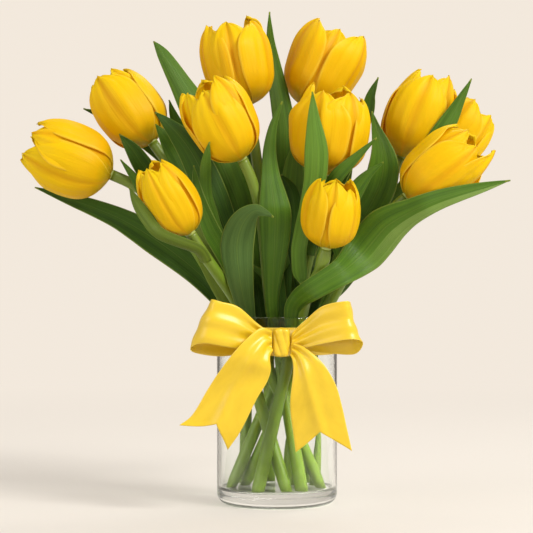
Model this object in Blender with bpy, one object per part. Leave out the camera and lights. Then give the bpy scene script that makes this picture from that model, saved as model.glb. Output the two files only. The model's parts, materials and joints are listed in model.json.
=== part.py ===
"""Eleven cut tulips standing in a clear glass cylinder vase tied with a ribbon bow.

Units in the tables are millimetres, the built objects are in metres, +Z is up.
The origin is the centre of the vase's base, on the table. The bow faces -Y.
Stems are given first; heads sit on the stems' ends and leaves clasp the stems.
"""
import math

import bmesh
import bpy
import numpy as np

# ---- driving dimensions, mm --------------------------------------------------
MM = 0.001
VASE_RADIUS = 48.0
VASE_HEIGHT = 150.0
VASE_WALL = 3.0
VASE_FLOOR = 12.0
VASE_HEEL = 9.0
RIM_HEIGHT = VASE_HEIGHT
FOOT_HEIGHT = VASE_FLOOR + 0.3
FOOT_RADIUS = 4.9
NECK_RADIUS = 4.5
TOP_RADIUS = 4.3
STEM_SIDES = 8
SEAT_GAP = 0.35
SEAT_REACH = 1.06
HEAD_GAP = 0.6
PASS_GAP = 0.7
STEM_LEAN = 1.15
LEAF_THICKNESS = 1.2
PETAL_THICKNESS = 1.3
HEAD_SIDES = 12
HEAD_LEVELS = (0.0, 0.10, 0.32, 0.60, 0.82, 1.0)
HEAD_SWELL = (0.16, 0.70, 1.0, 0.98, 0.85)
BAND_RADIUS = VASE_RADIUS + 0.3
BAND_THICKNESS = 0.9
BAND_LOW = 120.0
BAND_HIGH = 142.0
RIBBON_THICKNESS = 0.9
RIBBON_STEPS = 2
KNOT_WIDTH = 15.0
KNOT_HEIGHT = 23.0
KNOT_DEPTH = 15.0
KNOT_CENTRE = (3.0, -57.2, 131.0)

# ---- stems: foot (x, y), neck (x, y) at the rim's height, head base, head tip --
STEMS = {
    "01": ((7.5, -30.5), (-35.0, -1.0), (-131.0, -10.0, 262.0), (-199.0, -16.0, 286.0)),
    "02": ((-27.0, 26.0), (-23.0, 15.0), (-100.0, 15.0, 289.0), (-140.0, 22.0, 344.0)),
    "03": ((-6.0, 37.0), (-7.0, 20.0), (-24.0, 20.0, 319.0), (-40.0, 26.0, 390.0)),
    "04": ((19.0, -28.0), (-4.0, -17.0), (-27.0, -45.0, 272.0), (-59.0, -54.0, 330.0)),
    "05": ((25.0, 28.0), (3.0, 35.0), (23.0, 45.0, 320.0), (54.0, 52.0, 385.0)),
    "06": ((10.0, 13.0), (17.0, 6.0), (37.0, -20.0, 261.0), (45.0, -24.0, 331.0)),
    "07": ((31.0, 13.0), (29.0, 13.0), (100.0, 15.0, 277.0), (129.0, 20.0, 346.0)),
    "08": ((-37.0, 1.0), (24.0, 28.0), (128.0, 65.0, 270.0), (170.0, 72.0, 321.0)),
    "09": ((-26.0, 12.0), (36.0, -12.0), (100.0, -38.0, 243.0), (158.0, -44.0, 289.0)),
    "10": ((35.0, -3.0), (-26.0, -18.0), (-66.0, -72.0, 214.0), (-97.0, -84.0, 266.0)),
    "11": ((-15.2, -33.8), (16.0, -31.0), (37.0, -64.0, 203.0), (45.0, -72.0, 256.0)),
}

# ---- heads: largest radius and rim radius --------------------------------------
HEADS = {
    "01": (28.5, 16.0),
    "02": (26.5, 15.0),
    "03": (27.5, 20.0),
    "04": (25.5, 18.0),
    "05": (29.0, 21.0),
    "06": (30.5, 20.0),
    "07": (26.5, 17.0),
    "08": (24.0, 17.0),
    "09": (25.0, 18.0),
    "10": (20.0, 13.0),
    "11": (22.0, 14.0),
}

# ---- leaves: stem, side of the stem (0 front, 90 right), root height, fold, ------
# ---- then stations (x, y, z, width) from the root to the tip
LEAVES = {
    "leaf_left_low": ("01", 175, 138, -0.25, [
        (-52, 6, 172, 18), (-70, 8, 190, 22), (-98, 8, 211, 24), (-129, 8, 229, 17),
        (-165, 10, 243, 10), (-195, 10, 253, 1)]),
    "leaf_left_olive": ("01", 5, 136, 0.25, [
        (-42, -18, 171, 17), (-52, -22, 193, 19), (-62, -24, 216, 16), (-72, -25, 238, 1)]),
    "leaf_front_curl": ("10", -10, 126, 0.25, [
        (-26, -38, 163, 16), (-30, -48, 188, 23), (-31, -54, 207, 26), (-26, -60, 223, 21),
        (-16, -66, 232, 10), (-3, -70, 227, 1)]),
    "leaf_left_slim": ("10", 170, 148, -0.25, [
        (-37, -22, 190, 13), (-51, -32, 216, 14), (-59, -38, 237, 10), (-63, -41, 253, 6),
        (-65, -42, 268, 1)]),
    "leaf_left_mid": ("04", 180, 172, 0.2, [
        (-40, -18, 206, 8), (-51, -24, 230, 9), (-56, -32, 249, 9), (-55, -44, 268, 8),
        (-52, -56, 284, 1)]),
    "leaf_left_dark": ("02", 0, 150, 0.2, [
        (-31, -3, 191, 14), (-44, -10, 226, 23), (-56, -13, 256, 25), (-68, -12, 280, 21),
        (-82, -12, 298, 13), (-97, -12, 312, 1)]),
    "leaf_left_broad": ("02", 175, 165, -0.2, [
        (-58, 17, 207, 18), (-81, 13, 239, 20), (-103, 5, 264, 17), (-115, 2, 282, 12),
        (-126, -2, 295, 1)]),
    "leaf_left_back": ("02", 5, 208, 0.2, [
        (-73, 6, 262, 14), (-84, 8, 284, 15), (-97, 10, 303, 1)]),
    "leaf_left_small": ("01", 10, 212, 0.2, [
        (-101, -12, 240, 10), (-112, -14, 258, 7), (-124, -16, 274, 1)]),
    "leaf_far_left": ("02", 170, 255, -0.2, [
        (-96, 36, 281, 10), (-121, 46, 301, 11), (-142, 46, 313, 7), (-159, 42, 319, 1)]),
    "leaf_left_tall": ("03", -20, 148, 0.22, [
        (-14, 9, 178, 7), (-21, 6, 210, 16), (-33, 1, 244, 26), (-45, -2, 273, 29),
        (-63, 1, 310, 25), (-78, 4, 337, 17), (-91, 4, 359, 10), (-99, 4, 370, 1)]),
    "leaf_left_tip": ("03", 0, 200, 0.2, [
        (-30, 10, 245, 8), (-58, 14, 278, 10), (-80, 16, 304, 9), (-87, 16, 324, 1)]),
    "leaf_tallest": ("05", 0, 195, 0.25, [
        (2, 32, 239, 13), (6, 33, 272, 18), (6, 35, 305, 18), (0, 38, 341, 14),
        (-5, 38, 373, 7), (-6, 36, 398, 1)]),
    "leaf_centre": ("04", 0, 126, 0.28, [
        (-4, -34, 163, 10), (-3, -40, 187, 17), (-2, -44, 210, 23), (-2, -44, 233, 25),
        (-5, -40, 258, 15), (-6, -36, 280, 10), (-3, -32, 300, 6), (4, -28, 319, 1)]),
    "leaf_centre_dark": ("06", -20, 165, 0.25, [
        (13, -12, 202, 9), (14, -14, 230, 13), (11, -16, 250, 10), (3, -17, 262, 1)]),
    "leaf_centre_pale": ("05", 15, 165, 0.2, [
        (12, 18, 231, 11), (12, 12, 255, 16), (14, 8, 275, 13), (17, 8, 295, 1)]),
    "leaf_centre_right": ("11", -165, 155, 0.22, [
        (18, -38, 183, 11), (17, -41, 204, 12), (23, -45, 232, 13), (29, -50, 256, 17),
        (30, -54, 279, 18), (28, -56, 302, 10), (27, -56, 324, 1)]),
    "leaf_right_back": ("06", 170, 190, -0.2, [
        (49, 8, 255, 10), (62, 14, 283, 11), (73, 16, 314, 11), (76, 15, 328, 7),
        (82, 14, 342, 1)]),
    "leaf_right_broad": ("09", 180, 150, -0.22, [
        (52, -4, 198, 14), (67, -10, 225, 23), (80, -17, 250, 26), (84, -20, 269, 24),
        (82, -20, 285, 15), (78, -19, 299, 7), (75, -18, 312, 1)]),
    "leaf_right_narrow": ("06", 0, 200, 0.2, [
        (33, -24, 228, 8), (37, -35, 243, 10), (46, -44, 259, 11), (60, -47, 273, 7),
        (77, -48, 289, 1)]),
    "leaf_right_fold": ("09", -20, 178, 0.3, [
        (45, -34, 216, 11), (56, -34, 240, 14), (65, -34, 254, 11), (73, -34, 263, 6),
        (83, -34, 271, 1)]),
    "leaf_far_right": ("07", 0, 190, 0.2, [
        (76, 3, 217, 8), (93, 1, 241, 10), (110, 0, 266, 11), (125, -5, 288, 15),
        (136, -7, 304, 14), (145, -7, 320, 8), (155, -6, 339, 1)]),
    "leaf_right_sweep": ("11", 5, 120, 0.25, [
        (12, -40, 156, 13), (24, -50, 170, 17), (49, -47, 185, 21), (67, -45, 200, 32),
        (83, -50, 219, 32), (102, -55, 231, 21), (125, -57, 241, 15), (153, -55, 249, 9),
        (180, -50, 256, 1)]),
    "leaf_right_low": ("07", 10, 145, 0.2, [
        (52, 0, 172, 7), (68, -2, 193, 7), (85, -4, 214, 1)]),
    "leaf_bract": ("10", -20, 196, 0.2, [
        (-87, -83, 213, 9), (-97, -84, 224, 10), (-105, -84, 236, 8), (-112, -83, 249, 1)]),
    "leaf_back_right": ("08", 180, 166, -0.22, [
        (38, 60, 211, 13), (52, 72, 253, 17), (59, 80, 296, 13), (62, 84, 334, 1)]),
    "leaf_back_tall": ("03", 180, 170, -0.22, [
        (-17, 44, 219, 15), (-24, 56, 269, 18), (-34, 64, 320, 15), (-42, 66, 360, 1)]),
    "leaf_back_centre": ("05", 180, 165, -0.22, [
        (19, 56, 228, 13), (30, 72, 279, 17), (40, 82, 326, 12), (47, 86, 362, 1)]),
    "leaf_back_left_low": ("05", -170, 140, -0.22, [
        (-27, 50, 195, 13), (-42, 78, 224, 20), (-53, 98, 246, 15), (-60, 112, 255, 1)]),
    "leaf_back_right_low": ("08", -165, 140, -0.22, [
        (29, 55, 186, 13), (43, 82, 212, 20), (53, 100, 233, 15), (60, 114, 242, 1)]),
}

# ---- ribbon strips: pairs of edge points (first edge, second edge) ----------------
LEFT_LOOP = [
    ((-4.8, -60, 138), (-4.8, -60, 126)), ((-16, -63, 146), (-17, -63, 127)),
    ((-31, -70, 159), (-33, -71, 127)), ((-47, -74, 163), (-55, -76, 131)),
    ((-50, -66, 164), (-66, -67, 128)), ((-46, -57, 163), (-64, -56, 123)),
    ((-32, -54, 158), (-44, -54, 120)), ((-18, -54, 147), (-22, -54, 123)),
    ((-4.8, -53.6, 137), (-4.8, -53.6, 127)),
]
RIGHT_LOOP = [
    ((10.8, -60, 138), (10.8, -60, 126)), ((21, -63, 148), (20, -63, 127)),
    ((34, -70, 159), (37, -71, 131)), ((51, -74, 163), (56, -76, 134)),
    ((56, -66, 162), (65, -67, 131)), ((53, -57, 161), (60, -56, 122)),
    ((37, -54, 158), (43, -54, 122)), ((23, -54, 147), (25, -54, 124)),
    ((10.8, -53.6, 137), (10.8, -53.6, 127)),
]
LEFT_TAIL = [
    ((-4.2, -61.7, 140), (-4.3, -61.6, 125)), ((-14, -69, 142), (-6, -66, 120)),
    ((-30, -75, 128), (-5, -70, 111)), ((-42, -72, 113), (-8, -68, 101)),
    ((-53, -69, 96), (-16, -67, 88)), ((-65, -68, 76), (-28, -66, 64)),
    ((-75, -68, 68), (-38, -66, 49)),
]
RIGHT_TAIL = [
    ((10.5, -61.6, 122), (10.6, -61.6, 131)), ((12, -66, 116), (21, -67, 127)),
    ((12, -68, 106), (34, -71, 116)), ((10, -68, 90), (44, -71, 100)),
    ((10, -66, 77), (49, -69, 84)), ((12, -65, 62), (53, -67, 66)),
    ((14, -64, 47), (57, -66, 48)),
]
TAIL_NOTCH = 0.16

GREEN = (0.10, 0.26, 0.03, 1.0)
STEM_GREEN = (0.24, 0.42, 0.07, 1.0)
YELLOW = (0.95, 0.62, 0.04, 1.0)
SATIN = (0.92, 0.60, 0.08, 1.0)
CLEAR = (0.92, 0.96, 0.95, 1.0)


def unit(vectors):
    """Vectors scaled to length one along the last axis."""
    vectors = np.asarray(vectors, float)
    length = np.linalg.norm(vectors, axis=-1, keepdims=True)
    return vectors / np.maximum(length, 1e-9)


def smooth(stations, steps):
    """Catmull-Rom curve through the stations, `steps` rows per span."""
    points = np.asarray(stations, float)
    first = 2 * points[0] - points[1]
    last = 2 * points[-1] - points[-2]
    points = np.vstack([first, points, last])
    rows = []
    for i in range(1, len(points) - 2):
        t = (np.arange(steps) / steps)[:, None]
        a, b, c, d = points[i - 1], points[i], points[i + 1], points[i + 2]
        rows.append(0.5 * (2 * b + (c - a) * t + (2 * a - 5 * b + 4 * c - d) * t ** 2
                           + (3 * b - a - 3 * c + d) * t ** 3))
    rows.append(points[-2:-1])
    return np.vstack(rows)


def add_object(name, vertices, faces, material):
    """A mesh object in metres from millimetre vertices, its faces turned outward."""
    mesh = bpy.data.meshes.new(name)
    mesh.from_pydata((np.asarray(vertices) * MM).tolist(), [], faces)
    body = bmesh.new()
    body.from_mesh(mesh)
    bmesh.ops.recalc_face_normals(body, faces=body.faces)
    if body.calc_volume(signed=True) < 0:
        bmesh.ops.reverse_faces(body, faces=body.faces)
    body.to_mesh(mesh)
    body.free()
    obj = bpy.data.objects.new(name, mesh)
    obj.data.materials.append(material)
    bpy.context.scene.collection.objects.link(obj)
    return obj


def make_material(name, colour, roughness, transmission=0.0, sheen=0.0):
    """A Principled material of one colour."""
    material = bpy.data.materials.new(name)
    material.use_nodes = True
    shader = material.node_tree.nodes["Principled BSDF"]
    shader.inputs["Base Color"].default_value = colour
    shader.inputs["Roughness"].default_value = roughness
    shader.inputs["Transmission Weight"].default_value = transmission
    shader.inputs["Sheen Weight"].default_value = sheen
    material.diffuse_color = colour
    return material


def grid_faces(rows, columns, offset, flip, wrap=False):
    """Triangles of a grid of vertices laid out row after row."""
    faces = []
    last = columns if wrap else columns - 1
    for i in range(rows - 1):
        for j in range(last):
            a = offset + i * columns + j
            b = offset + i * columns + (j + 1) % columns
            c = b + columns
            d = a + columns
            if flip:
                faces += [(a, d, c), (a, c, b)]
            else:
                faces += [(a, b, c), (a, c, d)]
    return faces


def closed_plate(name, grid, thickness, material):
    """A sheet given as a (rows, columns, 3) grid, thickened to a closed body."""
    rows, columns = grid.shape[:2]
    along = np.gradient(grid, axis=0)
    across = np.gradient(grid, axis=1)
    normal = unit(np.cross(along, across))
    top = (grid + normal * thickness / 2).reshape(-1, 3)
    bottom = (grid - normal * thickness / 2).reshape(-1, 3)
    count = rows * columns
    faces = grid_faces(rows, columns, 0, True)
    faces += grid_faces(rows, columns, count, False)
    border = [j for j in range(columns)]
    border += [i * columns + columns - 1 for i in range(1, rows)]
    border += [(rows - 1) * columns + j for j in range(columns - 2, -1, -1)]
    border += [i * columns for i in range(rows - 2, 0, -1)]
    for k, a in enumerate(border):
        b = border[(k + 1) % len(border)]
        faces += [(a, b, b + count), (a, b + count, a + count)]
    return add_object(name, np.vstack([top, bottom]), faces, material)


def lathe(name, profile, sides, material):
    """A closed turned body; the profile starts and ends on the axis."""
    angles = np.arange(sides) * 2 * math.pi / sides
    ring = np.array(profile[1:-1], float)
    radius = ring[:, 0][:, None]
    height = np.repeat(ring[:, 1][:, None], sides, axis=1)
    grid = np.stack([radius * np.cos(angles), radius * np.sin(angles), height], axis=-1)
    count = len(ring) * sides
    vertices = np.vstack([grid.reshape(-1, 3),
                          [[0, 0, profile[0][1]], [0, 0, profile[-1][1]]]])
    faces = grid_faces(len(ring), sides, 0, False, wrap=True)
    for j in range(sides):
        k = (j + 1) % sides
        faces.append((count, k, j))
        end = (len(ring) - 1) * sides
        faces.append((count + 1, end + j, end + k))
    return add_object(name, vertices, faces, material)


# ---- the vase and the band round it --------------------------------------------
def build_vase(material):
    inner = VASE_RADIUS - VASE_WALL
    profile = [(0, 0)]
    for angle in np.linspace(0, math.pi / 2, 5):
        profile.append((VASE_RADIUS - VASE_HEEL + VASE_HEEL * math.sin(angle),
                        VASE_HEEL * (1 - math.cos(angle))))
    profile += [(VASE_RADIUS, VASE_HEIGHT - 1.2), (VASE_RADIUS - 0.5, VASE_HEIGHT - 0.3),
                (VASE_RADIUS - VASE_WALL / 2, VASE_HEIGHT),
                (inner + 0.5, VASE_HEIGHT - 0.3), (inner, VASE_HEIGHT - 1.2),
                (inner, VASE_FLOOR + 3.0), (inner - 3.0, VASE_FLOOR), (0, VASE_FLOOR)]
    return lathe("vase", profile, 48, material)


def build_band(material):
    sides = 48
    angles = np.arange(sides) * 2 * math.pi / sides
    outer = BAND_RADIUS / math.cos(math.pi / sides) + BAND_THICKNESS
    inner = BAND_RADIUS / math.cos(math.pi / sides)
    ring = []
    for radius, height in ((inner, BAND_LOW), (outer, BAND_LOW),
                           (outer, BAND_HIGH), (inner, BAND_HIGH), (inner, BAND_LOW)):
        ring.append(np.stack([radius * np.cos(angles), radius * np.sin(angles),
                              np.full(sides, height)], axis=-1))
    vertices = np.vstack(ring[:4])
    faces = [tuple(v % (4 * sides) for v in face)
             for face in grid_faces(5, sides, 0, False, wrap=True)]
    return add_object("ribbon_band", vertices, faces, material)


# ---- stems ------------------------------------------------------------------------
def stem_path(key):
    """Centre line of a stem from its foot to the base of its head."""
    foot, neck, base, tip = STEMS[key]
    start = np.array([foot[0], foot[1], FOOT_HEIGHT])
    middle = np.array([neck[0], neck[1], RIM_HEIGHT])
    end = np.array(base)
    reach = np.linalg.norm(end - middle)
    leave = unit(unit(middle - start) + 0.9 * unit(end - middle)) * reach
    arrive = unit(np.array(tip) - end) * reach
    lower = start + (middle - start) * np.linspace(0, 1, 5)[:-1, None]
    t = np.linspace(0, 1, 11)[:, None]
    upper = ((2 * t ** 3 - 3 * t ** 2 + 1) * middle + (t ** 3 - 2 * t ** 2 + t) * leave
             + (-2 * t ** 3 + 3 * t ** 2) * end + (t ** 3 - t ** 2) * arrive)
    return np.vstack([lower, upper])


def stem_radius(key, height, top):
    """Radius of a stem at a height, tapering from the foot to the head."""
    foot = FOOT_RADIUS + (0.3 if key in ("04", "11") else 0.0)
    return float(np.interp(height, [FOOT_HEIGHT, RIM_HEIGHT, top],
                           [foot, NECK_RADIUS, TOP_RADIUS]))


def frames(path, reference=(0.0, 1.0, 0.0)):
    """Tangent, across and normal directions along a path, across kept level with view."""
    tangent = unit(np.gradient(path, axis=0))
    across = unit(np.cross(tangent, np.array(reference)))
    normal = np.cross(across, tangent)
    return tangent, across, normal


def build_stem(key, material):
    path = stem_path(key)
    tangent, across, normal = frames(path)
    tangent[0] = (0, 0, 1)
    angles = (np.arange(STEM_SIDES) + 0.5) * 2 * math.pi / STEM_SIDES
    radius = np.array([stem_radius(key, p[2], path[-1][2]) for p in path])
    ring = (np.cos(angles)[None, :, None] * across[:, None, :]
            + np.sin(angles)[None, :, None] * normal[:, None, :])
    grid = path[:, None, :] + ring * radius[:, None, None]
    grid[0, :, 2] = FOOT_HEIGHT
    rows = len(path)
    faces = grid_faces(rows, STEM_SIDES, 0, False, wrap=True)
    end = (rows - 1) * STEM_SIDES
    for j in range(1, STEM_SIDES - 1):
        faces.append((0, j + 1, j))
        faces.append((end, end + j, end + j + 1))
    return add_object("stem_" + key, grid.reshape(-1, 3), faces, material)


# ---- heads --------------------------------------------------------------------------
def build_head(key, material):
    """A cup of petals: closed at the stem, open at a six-lobed rim."""
    base, tip = np.array(STEMS[key][2]), np.array(STEMS[key][3])
    axis = unit(tip - base)
    length = np.linalg.norm(tip - base)
    widest, rim = HEADS[key]
    side = unit(np.cross(axis, (0.0, 1.0, 0.0)))
    other = np.cross(axis, side)
    angles = np.arange(HEAD_SIDES) * 2 * math.pi / HEAD_SIDES
    levels = np.array(HEAD_LEVELS)
    radii = np.array(HEAD_SWELL + (rim / widest,)) * widest
    lobes = 0.93 + 0.07 * np.cos(3 * angles)
    start = base + axis * HEAD_GAP

    def shell(scale, lift):
        rise = (length - HEAD_GAP) * levels[:, None] * np.where(
            levels[:, None] > 0.7, lobes[None, :], 1.0)
        rise = np.maximum(rise, lift)
        wide = np.maximum(radii - scale, 0.6)[:, None]
        return (start + axis * rise[..., None]
                + side * (wide * np.cos(angles))[..., None]
                + other * (wide * np.sin(angles))[..., None])

    outer = shell(0.0, 0.0)
    inner = shell(PETAL_THICKNESS, PETAL_THICKNESS)[::-1]
    grid = np.concatenate([outer, inner])
    rows = len(grid)
    count = rows * HEAD_SIDES
    poles = [start, start + axis * PETAL_THICKNESS]
    faces = grid_faces(rows, HEAD_SIDES, 0, False, wrap=True)
    end = (rows - 1) * HEAD_SIDES
    for j in range(HEAD_SIDES):
        k = (j + 1) % HEAD_SIDES
        faces.append((count, k, j))
        faces.append((count + 1, end + j, end + k))
    vertices = np.vstack([grid.reshape(-1, 3), poles])
    return add_object("flower_" + key, vertices, faces, material)


# ---- leaves ---------------------------------------------------------------------------
def leaf_grid(key):
    """Rows of left edge, crease and right edge points of one leaf."""
    stem, azimuth, root, fold, stations = LEAVES[key]
    path = stem_path(stem)
    turn = math.radians(azimuth)
    outward = np.array([math.sin(turn), -math.cos(turn), 0.0])
    seats = []
    sides = []
    for rise in (0.0, 9.0):
        level = root + rise
        centre = np.array([np.interp(level, path[:, 2], path[:, i]) for i in range(3)])
        above = np.array([np.interp(level + 1, path[:, 2], path[:, i]) for i in range(3)])
        tangent = unit(above - centre)
        side = unit(outward - tangent * outward.dot(tangent))
        reach = (stem_radius(stem, level, path[-1][2]) + SEAT_GAP + LEAF_THICKNESS / 2)
        seats.append(np.append(centre + side * reach * SEAT_REACH, 9.0))
        sides.append(side)
    rows = smooth(np.vstack([seats, stations]), 2)
    line, width = rows[:, :3], np.maximum(rows[:, 3], 1.0)
    tangent, across, normal = frames(line)
    facing = 1.0 if fold > 0 else -1.0
    # the blade's outer side turns from the stem's side towards its own facing
    blend = np.clip(np.arange(len(rows)) / 6.0, 0, 1)[:, None]
    outer = np.array([0.0, -facing, 0.0]) * blend + sides[0] * (1 - blend)
    outer = unit(outer - tangent * (outer * tangent).sum(axis=1, keepdims=True))
    across = np.cross(tangent, outer)
    depth = (np.interp(np.arange(len(rows)), [0, 2, 6], [0.45, 0.45, abs(fold)])
             * width / 2)[:, None]
    half = (width / 2)[:, None]
    left = line - across * half - outer * depth * 0.7
    right = line + across * half - outer * depth * 0.7
    crease = line + outer * depth * 0.3
    crease[:3] = line[:3]
    left[:3] = (line - across * half - outer * depth)[:3]
    right[:3] = (line + across * half - outer * depth)[:3]
    return np.stack([left, crease, right], axis=1)


def fine_samples(grid):
    """Points between the rows and across the blade, with the row each one belongs to."""
    rows = len(grid)
    position = np.linspace(0, rows - 1, (rows - 1) * 4 + 1)
    lower = np.minimum(position.astype(int), rows - 2)
    share = (position - lower)[:, None, None]
    dense = grid[lower] * (1 - share) + grid[lower + 1] * share
    across = np.linspace(0, 2, 9)
    column = np.minimum(across.astype(int), 1)
    part = (across - column)[None, :, None]
    points = dense[:, column] * (1 - part) + dense[:, column + 1] * part
    return points, position


def spread_push(push, position, rows):
    """Each row's push: the largest near it, fading over the rows beside it."""
    reach = 1 - np.abs(position[None, :] - np.arange(rows)[:, None]) / 2.5
    reach = np.where(reach > 0.55, 1.0, np.maximum(reach, 0))
    return (reach * push[None, :]).max(axis=1)


def clear_of_stems(grid, own, facing):
    """Rows moved to the front or the back until they pass every stem."""
    for key in STEMS:
        path = stem_path(key)
        position = np.linspace(0, len(path) - 1, len(path) * 5)
        centre = np.stack([np.interp(position, np.arange(len(path)), path[:, i])
                           for i in range(3)], axis=1)
        points, row = fine_samples(grid)
        gap = np.hypot(points[..., 0, None] - centre[:, 0],
                       points[..., 2, None] - centre[:, 2])
        nearest = gap.argmin(axis=-1)
        gap = gap.min(axis=-1)
        radius = np.array([stem_radius(key, z, path[-1][2]) for z in centre[:, 2]])
        room = radius[nearest] + LEAF_THICKNESS / 2 + PASS_GAP
        offset = points[..., 1] - centre[nearest, 1]
        near = gap < room
        if key == own:
            near &= (row > 1.3)[:, None]
        if not near.any():
            continue
        side = facing if key == own else np.sign(offset[near].mean())
        need = np.sqrt(np.maximum(room ** 2 - gap ** 2, 0)) * STEM_LEAN
        short = np.where(near, need - side * offset, 0).clip(0).max(axis=1)
        grid[:, :, 1] += side * spread_push(short, row, len(grid))[:, None]
    return grid


def clear_of_heads(grid):
    """Rows moved to the front or the back until they pass every head."""
    for key in STEMS:
        base, tip = np.array(STEMS[key][2]), np.array(STEMS[key][3])
        axis = unit(tip - base)
        length = np.linalg.norm(tip - base)
        widest, rim = HEADS[key]
        points, row = fine_samples(grid)
        along = (points - base) @ axis
        swell = np.array(HEAD_SWELL + (rim / widest,)) * widest
        room = np.interp(along / length, HEAD_LEVELS, swell) + LEAF_THICKNESS / 2 + PASS_GAP
        middle = base + axis * along[..., None]
        beside = np.hypot(points[..., 0] - middle[..., 0], points[..., 2] - middle[..., 2])
        offset = points[..., 1] - middle[..., 1]
        inside = (along > -1.5) & (along < length + 1.5) & (beside < room)
        inside &= np.abs(offset) < room
        if not inside.any():
            continue
        side = np.sign(offset[inside].mean())
        need = np.sqrt(np.maximum(room ** 2 - beside ** 2, 0))
        short = np.where(inside, need - side * offset, 0).clip(0).max(axis=1)
        grid[:, :, 1] += side * spread_push(short, row, len(grid))[:, None]
    return grid


def build_leaf(key, material):
    stem, azimuth = LEAVES[key][:2]
    facing = -1.0 if abs(azimuth) < 90 else 1.0
    grid = leaf_grid(key)
    for _ in range(2):
        grid = clear_of_heads(grid)
        grid = clear_of_stems(grid, stem, facing)
    return closed_plate(key, grid, LEAF_THICKNESS, material)


# ---- the bow -----------------------------------------------------------------------------
def ribbon_grid(pairs, columns, notch=0.0):
    """A strip between two edge curves, its far end cut in a V of the given depth."""
    pairs = np.array(pairs, float)
    first = smooth(pairs[:, 0], RIBBON_STEPS)
    second = smooth(pairs[:, 1], RIBBON_STEPS)
    rows = len(first)
    share = np.linspace(0, 1, columns)
    along = np.linspace(0, 1, rows)[:, None] * (1 - notch * (1 - np.abs(2 * share - 1)))
    grid = np.zeros((rows, columns, 3))
    for axis in range(3):
        one = np.interp(along * (rows - 1), np.arange(rows), first[:, axis])
        two = np.interp(along * (rows - 1), np.arange(rows), second[:, axis])
        grid[..., axis] = one * (1 - share) + two * share
    return grid


def build_knot(material):
    """The wrapped knot: a rounded barrel, waisted at mid height."""
    half_height = KNOT_HEIGHT / 2
    levels = np.array([-1.0, -0.96, -0.7, 0.0, 0.7, 0.96, 1.0])
    swell = np.array([0.0, 0.80, 1.0, 0.90, 1.0, 0.80, 0.0])
    angles = np.arange(16) * 2 * math.pi / 16
    square = (np.abs(np.cos(angles)) ** 3 + np.abs(np.sin(angles)) ** 3) ** (-1 / 3)
    ring = []
    for level, size in zip(levels[1:-1], swell[1:-1]):
        ring.append(np.stack([
            KNOT_CENTRE[0] + KNOT_WIDTH / 2 * size * square * np.cos(angles),
            KNOT_CENTRE[1] + KNOT_DEPTH / 2 * size * square * np.sin(angles),
            np.full(16, KNOT_CENTRE[2] + half_height * level)], axis=-1))
    grid = np.vstack(ring)
    count = len(grid)
    poles = [(KNOT_CENTRE[0], KNOT_CENTRE[1], KNOT_CENTRE[2] - half_height),
             (KNOT_CENTRE[0], KNOT_CENTRE[1], KNOT_CENTRE[2] + half_height)]
    faces = grid_faces(len(ring), 16, 0, False, wrap=True)
    end = count - 16
    for j in range(16):
        k = (j + 1) % 16
        faces.append((count, k, j))
        faces.append((count + 1, end + j, end + k))
    return add_object("ribbon_knot", np.vstack([grid, poles]), faces, material)


def main():
    for obj in list(bpy.data.objects):
        bpy.data.objects.remove(obj, do_unlink=True)
    glass = make_material("vase_glass", CLEAR, 0.03, transmission=1.0)
    satin = make_material("satin_ribbon", SATIN, 0.38, sheen=0.5)
    stem_skin = make_material("stem_skin", STEM_GREEN, 0.5)
    leaf_skin = make_material("leaf_skin", GREEN, 0.48)
    petal = make_material("petal", YELLOW, 0.5, sheen=0.2)
    build_vase(glass)
    build_band(satin)
    build_knot(satin)
    closed_plate("ribbon_left_loop", ribbon_grid(LEFT_LOOP, 4), RIBBON_THICKNESS, satin)
    closed_plate("ribbon_right_loop", ribbon_grid(RIGHT_LOOP, 4), RIBBON_THICKNESS, satin)
    closed_plate("ribbon_left_tail", ribbon_grid(LEFT_TAIL, 5, TAIL_NOTCH),
                 RIBBON_THICKNESS, satin)
    closed_plate("ribbon_right_tail", ribbon_grid(RIGHT_TAIL, 5, TAIL_NOTCH),
                 RIBBON_THICKNESS, satin)
    for key in STEMS:
        build_stem(key, stem_skin)
        build_head(key, petal)
    for key in LEAVES:
        build_leaf(key, leaf_skin)


main()
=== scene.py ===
# %% [markdown]
# # A bunch of tulips in a glass vase
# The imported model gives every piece's place and size. This script grows the fine surfaces
# over it: petals with veins, channelled leaves, smooth stems, clear glass and a satin bow.

# %% Load the frame
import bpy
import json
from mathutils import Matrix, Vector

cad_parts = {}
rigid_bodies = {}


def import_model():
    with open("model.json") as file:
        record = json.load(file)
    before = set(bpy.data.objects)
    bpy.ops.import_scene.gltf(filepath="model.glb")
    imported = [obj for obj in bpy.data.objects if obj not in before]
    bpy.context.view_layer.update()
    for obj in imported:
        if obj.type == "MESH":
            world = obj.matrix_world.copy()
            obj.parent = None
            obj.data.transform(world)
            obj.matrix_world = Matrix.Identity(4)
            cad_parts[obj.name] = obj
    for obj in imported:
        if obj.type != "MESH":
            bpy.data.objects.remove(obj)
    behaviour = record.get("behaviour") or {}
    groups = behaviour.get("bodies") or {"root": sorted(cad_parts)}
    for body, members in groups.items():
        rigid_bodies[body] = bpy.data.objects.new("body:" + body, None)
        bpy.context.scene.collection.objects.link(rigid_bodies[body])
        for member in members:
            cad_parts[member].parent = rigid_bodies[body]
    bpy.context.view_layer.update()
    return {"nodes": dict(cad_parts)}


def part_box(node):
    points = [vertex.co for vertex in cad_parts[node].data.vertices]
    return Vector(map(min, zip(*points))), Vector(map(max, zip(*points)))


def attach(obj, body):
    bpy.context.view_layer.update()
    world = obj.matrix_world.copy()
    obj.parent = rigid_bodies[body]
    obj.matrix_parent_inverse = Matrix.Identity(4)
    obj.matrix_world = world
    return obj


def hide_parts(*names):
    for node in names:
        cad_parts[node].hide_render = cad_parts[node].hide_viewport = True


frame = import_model()

import json
import math
from collections import deque

import bmesh
import bpy
import numpy as np

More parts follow.
